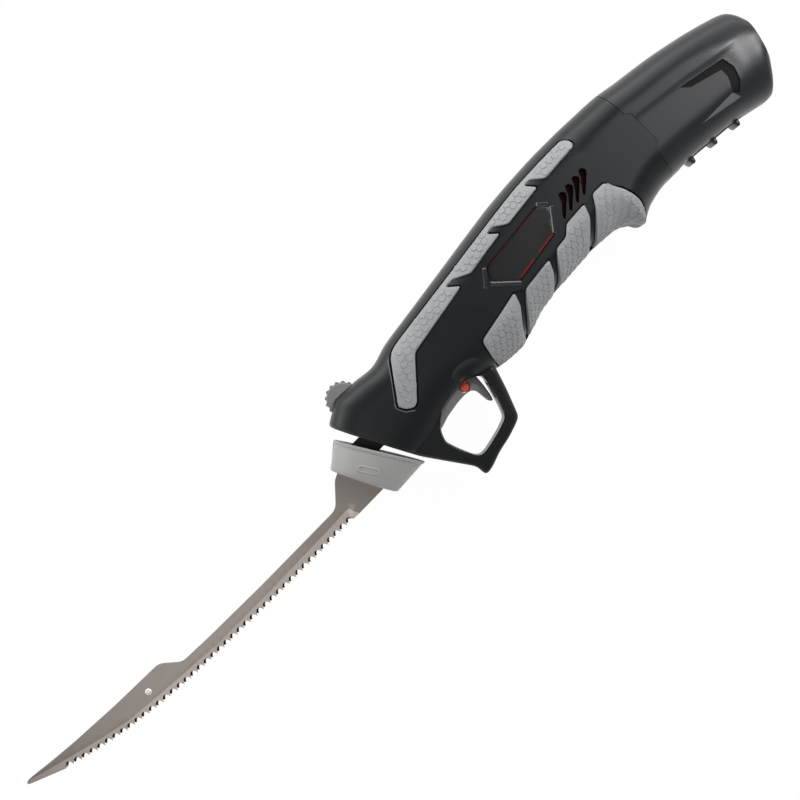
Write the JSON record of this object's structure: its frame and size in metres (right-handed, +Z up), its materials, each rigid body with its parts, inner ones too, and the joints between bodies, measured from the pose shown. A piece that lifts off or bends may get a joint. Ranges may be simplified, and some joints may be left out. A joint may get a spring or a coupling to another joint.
{
  "type": "cordless electric fillet knife",
  "caption": "Cordless electric fillet knife: twin reciprocating serrated blades in a clip-in collar, a pistol grip with a finger guard and trigger, and a slide-off battery.",
  "frame": {"origin": "under the middle of the knife's box, on the surface that it lies on", "axes": "+X from the blades to the battery, +Y from the edge to the spine, +Z up through the side that the picture shows"},
  "size_m": [0.4878, 0.0898, 0.0456],
  "materials": {
    "housing": "fine satin black",
    "battery": "satin black",
    "grip": "moulded grey",
    "badge": "bare gloss black",
    "collar": "silver grey",
    "neck": "black",
    "blade": "ground",
    "trigger": "grey",
    "wheel": "grey",
    "lock": "red",
    "screw": "zinc plated",
    "steel": "plain",
    "frame": "cast",
    "brass": "turned",
    "nylon": "natural",
    "seal": "soft",
    "magnet": "sintered",
    "winding": "laminated stack with windings",
    "switch": "moulded",
    "cell": "sleeved",
    "board": "lacquered"
  },
  "bodies": {
    "handle": {"left_housing": "housing", "right_housing": "housing", "left_grip_strip": "grip", "right_grip_strip": "grip", "left_finger_pad_1": "grip", "left_finger_pad_2": "grip", "left_finger_pad_3": "grip", "left_finger_pad_4": "grip", "right_finger_pad_1": "grip", "right_finger_pad_2": "grip", "right_finger_pad_3": "grip", "right_finger_pad_4": "grip", "left_badge_plate": "badge", "right_badge_plate": "badge", "housing_screw_1": "screw", "housing_screw_2": "screw", "housing_screw_3": "screw", "housing_screw_4": "screw", "housing_screw_5": "screw", "housing_screw_6": "screw", "housing_screw_7": "screw", "nose_seal": "seal", "gear_frame": "frame", "crank_axle": "steel", "motor_can": "steel", "motor_end_bell": "switch", "left_motor_magnet": "magnet", "right_motor_magnet": "magnet", "trigger_pin": "steel", "trigger_switch": "switch", "trigger_spring": "steel", "terminal_block": "brass"},
    "rotor": {"motor_shaft": "steel", "motor_armature": "winding", "worm": "brass"},
    "crank": {"crank_gear": "nylon"},
    "left_drive": {"left_drive_bar": "nylon", "left_blade_catch": "steel"},
    "right_drive": {"right_drive_bar": "nylon", "right_blade_catch": "steel"},
    "left_blade_set": {"left_blade": "blade", "left_collar": "collar", "left_tang_carrier": "neck", "blade_rivet": "steel"},
    "right_blade_set": {"right_blade": "blade", "right_collar": "collar", "right_tang_carrier": "neck"},
    "trigger": {"trigger": "trigger"},
    "lock_button": {"lock_button": "lock"},
    "switch_lever": {"switch_lever": "steel"},
    "release_wheel": {"release_wheel": "wheel"},
    "release_rocker": {"release_rocker": "nylon"},
    "battery": {"battery_case": "battery", "battery_front": "battery", "battery_board": "board", "battery_cell_1": "cell", "battery_cell_2": "cell", "battery_cell_3": "cell"},
    "battery_latch": {"battery_latch": "battery"}
  },
  "joints": [
    {"name": "motor_spin", "type": "hinge", "parent": "handle", "child": "rotor", "pos_m": [0.01255, 0.01826, 0.0228], "axis": [1, 0, 0], "continuous": true},
    {"name": "crank_spin", "type": "hinge", "parent": "handle", "child": "crank", "pos_m": [0.01255, 0.00586, 0.0228], "axis": [0, 0, 1], "continuous": true},
    {"name": "left_blade_stroke", "type": "slide", "parent": "handle", "child": "left_drive", "axis": [1, 0, 0], "range_m": [-0.0022, 0.0022]},
    {"name": "right_blade_stroke", "type": "slide", "parent": "handle", "child": "right_drive", "axis": [1, 0, 0], "range_m": [-0.0022, 0.0022]},
    {"name": "left_blade_pull", "type": "slide", "parent": "left_drive", "child": "left_blade_set", "axis": [-1, 0, 0], "range_m": [0, 0.05], "deforming": ["left_blade_catch"]},
    {"name": "right_blade_pull", "type": "slide", "parent": "right_drive", "child": "right_blade_set", "axis": [-1, 0, 0], "range_m": [0, 0.05], "deforming": ["right_blade_catch"]},
    {"name": "trigger_pull", "type": "hinge", "parent": "handle", "child": "trigger", "pos_m": [0.00805, -0.01064, 0.0228], "axis": [0, 0, 1], "range_deg": [0, 7.5], "stiffness_Nm_per_rad": 0.5, "springref_deg": -5.73, "deforming": ["trigger_spring"]},
    {"name": "lock_slide", "type": "slide", "parent": "trigger", "child": "lock_button", "axis": [0, 0, -1], "range_m": [0, 0.003]},
    {"name": "switch_press", "type": "hinge", "parent": "handle", "child": "switch_lever", "pos_m": [0.04455, 0.00136, 0.0228], "axis": [0, 0, -1], "range_deg": [0, 15.2]},
    {"name": "release_turn", "type": "hinge", "parent": "handle", "child": "release_wheel", "pos_m": [-0.01145, 0.02736, 0.0228], "axis": [0, 0, -1], "range_deg": [0, 60], "stiffness_Nm_per_rad": 0.02, "springref_deg": -11.46},
    {"name": "release_press", "type": "hinge", "parent": "handle", "child": "release_rocker", "pos_m": [-0.00245, 0.01786, 0.0228], "axis": [0, 0, 1], "range_deg": [0, 7.1], "deforming": ["left_blade_catch", "right_blade_catch"]},
    {"name": "battery_slide", "type": "slide", "parent": "handle", "child": "battery", "axis": [0.9945, -0.1048, 0], "range_m": [0, 0.05]},
    {"name": "battery_latch_slide", "type": "slide", "parent": "battery", "child": "battery_latch", "axis": [-0.9961, 0.0882, 0], "range_m": [0, 0.003], "stiffness_N_per_m": 150, "springref_m": -0.004}
  ],
  "couplings": [
    {"joint": "crank_spin", "follows": "motor_spin", "ratio": 0.083333},
    {"joint": "right_blade_stroke", "follows": "left_blade_stroke", "ratio": -1},
    {"joint": "right_blade_pull", "follows": "left_blade_pull", "ratio": 1},
    {"joint": "switch_press", "follows": "trigger_pull", "ratio": 1.795},
    {"joint": "release_press", "follows": "release_turn", "ratio": 0.1098}
  ]
}
